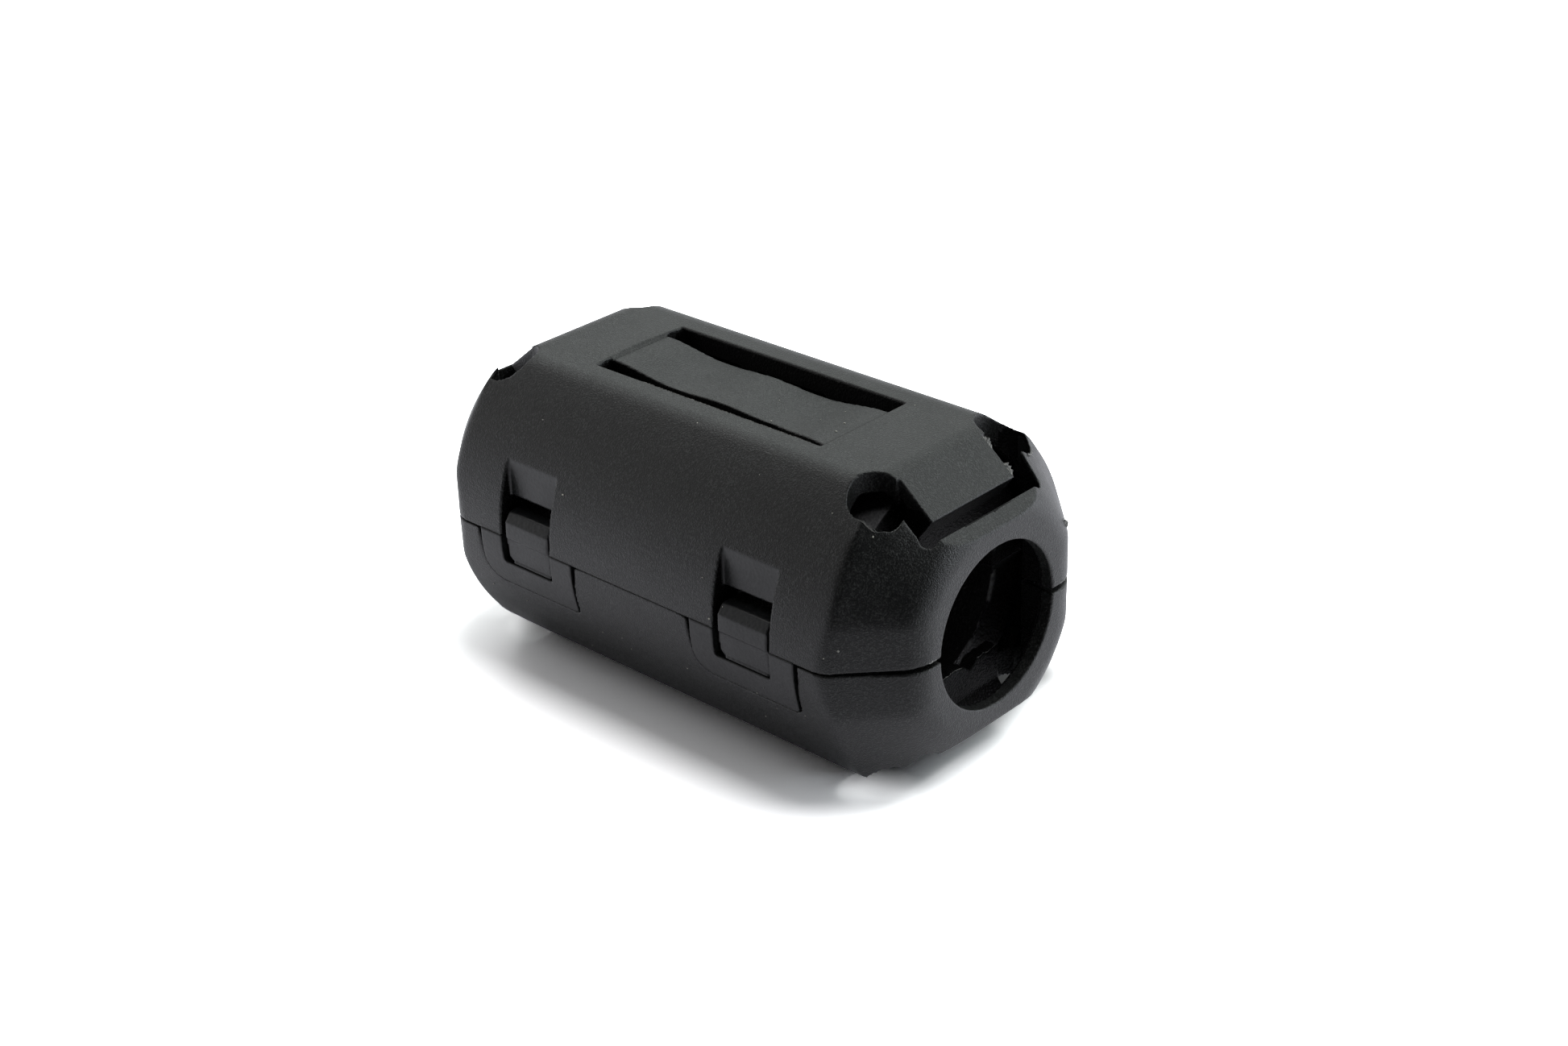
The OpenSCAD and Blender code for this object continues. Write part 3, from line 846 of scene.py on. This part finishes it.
# Crumbs: the least and the most radius, stretch and roughness
CRUMB_R = (0.03, 0.065)
CRUMB_STRETCH = (0.6, 1.3)
CRUMB_ROUGH = (0.85, 1.1)
DOWN = (0, 0, -1)
INWARD = (-1, 0, 0)
TO_HINGE = (0, 1, 0)
TO_LATCHES = (0, -1, 0)


def meet(pieces, start, way):
    """Where a ray from start, in mm, first meets any of the pieces, or None."""
    found = []
    for piece in pieces:
        hit, place, normal, face = piece.ray_cast(Vector(start) * MM, Vector(way))
        if hit:
            found.append(place / MM)
    return min(found, key=lambda place: (place - Vector(start)).length, default=None)


def line(first, last):
    """Points a step apart from first to last, in mm."""
    first = Vector(first)
    last = Vector(last)
    steps = max(LEAST_STEPS, round((last - first).length / FIN_STEP))
    return [first.lerp(last, i / steps) for i in range(steps + 1)]


def rim(side, start, end):
    """Points above a +X corner opening's rim, on side -1 near or 1 far, from start to end degrees."""
    radius = CORNER_R + RIM_CLEAR
    steps = max(LEAST_STEPS, round(math.radians(end - start) * radius / FIN_STEP))
    points = []
    for i in range(steps + 1):
        turn = math.radians(start + (end - start) * i / steps)
        x = CORNER_X + radius * math.cos(turn)
        y = side * CORNER_Y + radius * math.sin(turn)
        points.append(Vector((x, y, FAR_OUT)))
    return points


def end_seam(side, z):
    """Points before the +X end face beside the seam, on side -1 or 1, from the cable hole outwards."""
    return line((FAR_OUT, side * HOLE_EDGE, z), (FAR_OUT, side * END_EDGE_Y, z))


def upper_fins():
    """The edges of the upper shell that shed flash, each with its one fin.

    A row gives the ray starts along the edge, the rays' way, the share of the edge that the fin takes,
    and the fin's way, height and thickness.
    """
    above = AXIS_Z + SEAM_CLEAR
    flap_side = line((FLAP_ROOT_X, FLAP_EDGE_Y, FAR_OUT), (FLAP_TIP_X, FLAP_EDGE_Y, FAR_OUT))
    cone_edge = line((CONE_EDGE_X, FAR_OUT, AXIS_Z), (CONE_EDGE_X, FAR_OUT, AXIS_Z + END_FACE_R))
    window_side = line((-WINDOW_HALF_X, WINDOW_EDGE_Y, FAR_OUT), (WINDOW_HALF_X, WINDOW_EDGE_Y, FAR_OUT))
    return [
        (rim(-1, -90, -45), DOWN, 0.6, (0.3, -0.4, 1), 0.14, 0.07),
        (rim(-1, -45, 0), DOWN, 0.6, (0.6, 0, 1), 0.14, 0.06),
        (rim(1, -45, 45), DOWN, 0.4, (-0.5, -0.3, 1), 0.16, 0.1),
        (flap_side, DOWN, 0.25, (0.1, 1, 0.4), 0.3, 0.06),
        (flap_side, DOWN, 0.25, (0.1, 1, 0.4), 0.3, 0.06),
        (end_seam(-1, above), INWARD, 0.4, (0, -0.2, 1), 0.1, 0.06),
        (end_seam(1, above), INWARD, 0.4, (0.2, 1, -0.2), 0.14, 0.08),
        (cone_edge, TO_LATCHES, 0.1, (0.5, 1, 0.1), 0.28, 0.12),
        (window_side, DOWN, 0.75, (0, 0.5, 1), 0.05, 0.05),
    ]


def lower_fins():
    """The edges of the lower shell that shed flash, as for the upper one."""
    below = AXIS_Z - SEAM_CLEAR
    hole_side = line((FAR_OUT, -HOLE_EDGE, below), (FAR_OUT, -HOLE_EDGE, below - HOLE_R / 2))
    near_lip = line((LIP_X, -FLAP_HALF, AXIS_Z), (LIP_X, NOTCH_Y - NOTCH_CLEAR, AXIS_Z))
    far_lip = line((LIP_X, NOTCH_Y + NOTCH_CLEAR, AXIS_Z), (LIP_X, FLAP_HALF, AXIS_Z))
    return [
        (hole_side, INWARD, 0.4, (0.2, 1, 0.3), 0.13, 0.07),
        (end_seam(1, below), INWARD, 0.4, (0.4, 1, 0.4), 0.12, 0.08),
        (near_lip, DOWN, 0.9, (0.3, 0, 1), 0.08, 0.05),
        (far_lip, DOWN, 0.9, (0.3, 0, 1), 0.08, 0.05),
    ]


def run_along(starts, share, dice):
    """A seeded run of the starts that takes this share of them."""
    count = max(LEAST_RUN, round(len(starts) * share))
    first = dice.randint(0, max(0, len(starts) - count))
    return starts[first:first + count]


# Where crumbs lie: the middle of an area that rays start from, its half sizes, the rays' way, the number
UPPER_CRUMBS = [
    ((LATCH_XS[1], -FAR_OUT, AXIS_Z - 1.5), (2.4, 0, 2.2), TO_HINGE, 7),
    ((6, 0, FAR_OUT), (4, 3.8, 0), DOWN, 9),
    ((2, -FAR_OUT, AXIS_Z + 4), (13, 0, 3), TO_HINGE, 5),
    ((CORNER_X, -CORNER_Y, FAR_OUT), (1.9, 1.9, 0), DOWN, 4),
]
LOWER_CRUMBS = [
    ((0, -FAR_OUT, AXIS_Z - 4.5), (15, 0, 1), TO_HINGE, 5),
]


def inside_box(point):
    """point, in mm, held inside the CAD model's box."""
    low, high = cad_box
    return Vector([min(max(value, low[i] / MM), high[i] / MM) for i, value in enumerate(point)])


def add_fin(points, faces, stations, out, height, thick, dice):
    """A thin ragged fin rooted at the stations, its free edge towards out."""
    out = Vector(out).normalized()
    first = len(points)
    last = len(stations) - 1
    for i, station in enumerate(stations):
        along = (stations[min(i + 1, last)] - stations[max(i - 1, 0)]).normalized()
        across = along.cross(out).normalized() * thick / 2
        taper = min(1, FIN_END + FIN_RISE * i, FIN_END + FIN_RISE * (last - i))
        tip = station + out * height * taper * dice.uniform(FIN_LOWEST, 1) + across * dice.uniform(-1, 1)
        root = station - FIN_SUNK * out
        points += [root - across, tip, root + across]
    for i in range(last):
        k = first + 3 * i
        faces += [(k, k + 1, k + 4, k + 3), (k + 1, k + 2, k + 5, k + 4), (k + 2, k, k + 3, k + 5)]
    k = first + 3 * last
    faces += [(first, first + 2, first + 1), (k, k + 1, k + 2)]


def make_flash(body, pieces, fins):
    """All the fins of flash on one body, as one piece."""
    dice = random.Random(FLASH_SEED)
    points = []
    faces = []
    for starts, way, share, out, height, thick in fins:
        run = run_along(starts, share, dice)
        stations = [place for place in (meet(pieces, start, way) for start in run) if place is not None]
        if len(stations) > 2:
            add_fin(points, faces, stations, out, height, thick, dice)
    mesh = bpy.data.meshes.new(body + "_flash")
    mesh.from_pydata([inside_box(point) * MM for point in points], [], faces)
    piece = bpy.data.objects.new(body + "_flash", mesh)
    bpy.context.scene.collection.objects.link(piece)
    choose(piece)
    bpy.ops.object.mode_set(mode="EDIT")
    bpy.ops.mesh.select_all(action="SELECT")
    bpy.ops.mesh.normals_make_consistent(inside=False)
    bpy.ops.object.mode_set(mode="OBJECT")
    piece.data.materials.append(flash)
    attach(piece, body)


def scatter(pieces, areas, dice):
    """Seeded places on the pieces' surface inside the areas, in mm."""
    places = []
    for middle, half, way, number in areas:
        for _ in range(number):
            start = [middle[i] + half[i] * dice.uniform(-1, 1) for i in range(3)]
            place = meet(pieces, start, way)
            if place is not None:
                places.append(place)
    return places


def make_crumbs(body, pieces, areas):
    """All the crumbs on one body, as one piece."""
    dice = random.Random(CRUMB_SEED)
    crumbs = []
    for place in scatter(pieces, areas, dice):
        deselect()
        radius = dice.uniform(*CRUMB_R)
        bpy.ops.mesh.primitive_ico_sphere_add(subdivisions=2, radius=radius * MM)
        crumb = bpy.context.object
        stretch = [dice.uniform(*CRUMB_STRETCH) for _ in range(3)]
        for vertex in crumb.data.vertices:
            shaped = [value * stretch[i] * dice.uniform(*CRUMB_ROUGH) for i, value in enumerate(vertex.co)]
            vertex.co = inside_box(place + Vector(shaped) / MM) * MM
        crumbs.append(crumb)
    deselect()
    for crumb in crumbs:
        crumb.select_set(True)
    bpy.context.view_layer.objects.active = crumbs[0]
    bpy.ops.object.join()
    piece = bpy.context.object
    piece.name = body + "_crumbs"
    piece.data.name = body + "_crumbs"
    piece.data.materials.append(crumb_finish)
    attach(piece, body)


bpy.context.view_layer.update()
upper_pieces = [upper_case, *latches]
make_flash("upper_half", [upper_case], upper_fins())
make_crumbs("upper_half", upper_pieces, UPPER_CRUMBS)
make_flash("lower_half", [lower_case], lower_fins())
make_crumbs("lower_half", [lower_case], LOWER_CRUMBS)
